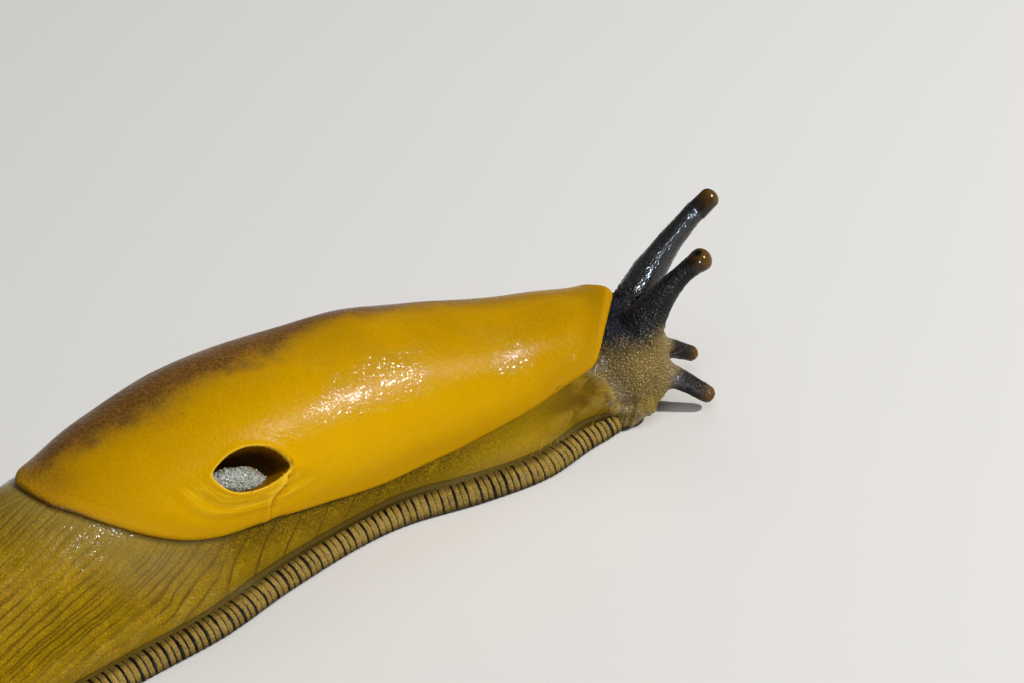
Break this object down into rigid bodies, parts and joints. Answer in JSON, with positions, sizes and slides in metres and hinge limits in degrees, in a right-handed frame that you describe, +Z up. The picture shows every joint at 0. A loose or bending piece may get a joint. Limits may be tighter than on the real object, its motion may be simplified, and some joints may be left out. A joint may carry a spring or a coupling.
{
  "type": "banana slug model",
  "caption": "Life-size still model of a crawling banana slug, with a mantle and its breathing hole, four tentacles, a grooved tail and a barred foot edge.",
  "frame": {"origin": "on the underside of the sole, on the body's midline 55 mm behind the snout, below the rear of the mantle", "axes": "+X to the head along the body's length, +Y to the animal's left, +Z up from the floor"},
  "size_m": [0.1693, 0.0279, 0.0172],
  "materials": {
    "mantle_skin": "wet, smooth yellow skin with a soft sheen",
    "body_skin": "moist olive-ochre skin with fine grain and dark grooves",
    "head_skin": "moist near-black pebbled skin, olive at the cheeks",
    "fringe_skin": "khaki skin with dark cross bars",
    "sole_skin": "pale, smooth and moist",
    "eye": "glossy brown bulb with a black eye spot"
  },
  "bodies": {
    "root": {"head": "head_skin", "neck": "body_skin", "trunk_front": "body_skin", "trunk_rear": "body_skin", "back": "body_skin", "tail_front": "body_skin", "tail_middle": "body_skin", "tail_tip": "body_skin", "mantle": "mantle_skin", "upper_tentacle_right": "head_skin", "upper_tentacle_left": "head_skin", "eye_right": "eye", "eye_left": "eye", "lower_tentacle_right": "head_skin", "lower_tentacle_left": "head_skin", "sole_front": "sole_skin", "sole_rear": "sole_skin", "fringe_front_right": "fringe_skin", "fringe_rear_right": "fringe_skin", "fringe_front_left": "fringe_skin", "fringe_rear_left": "fringe_skin"}
  },
  "joints": []
}
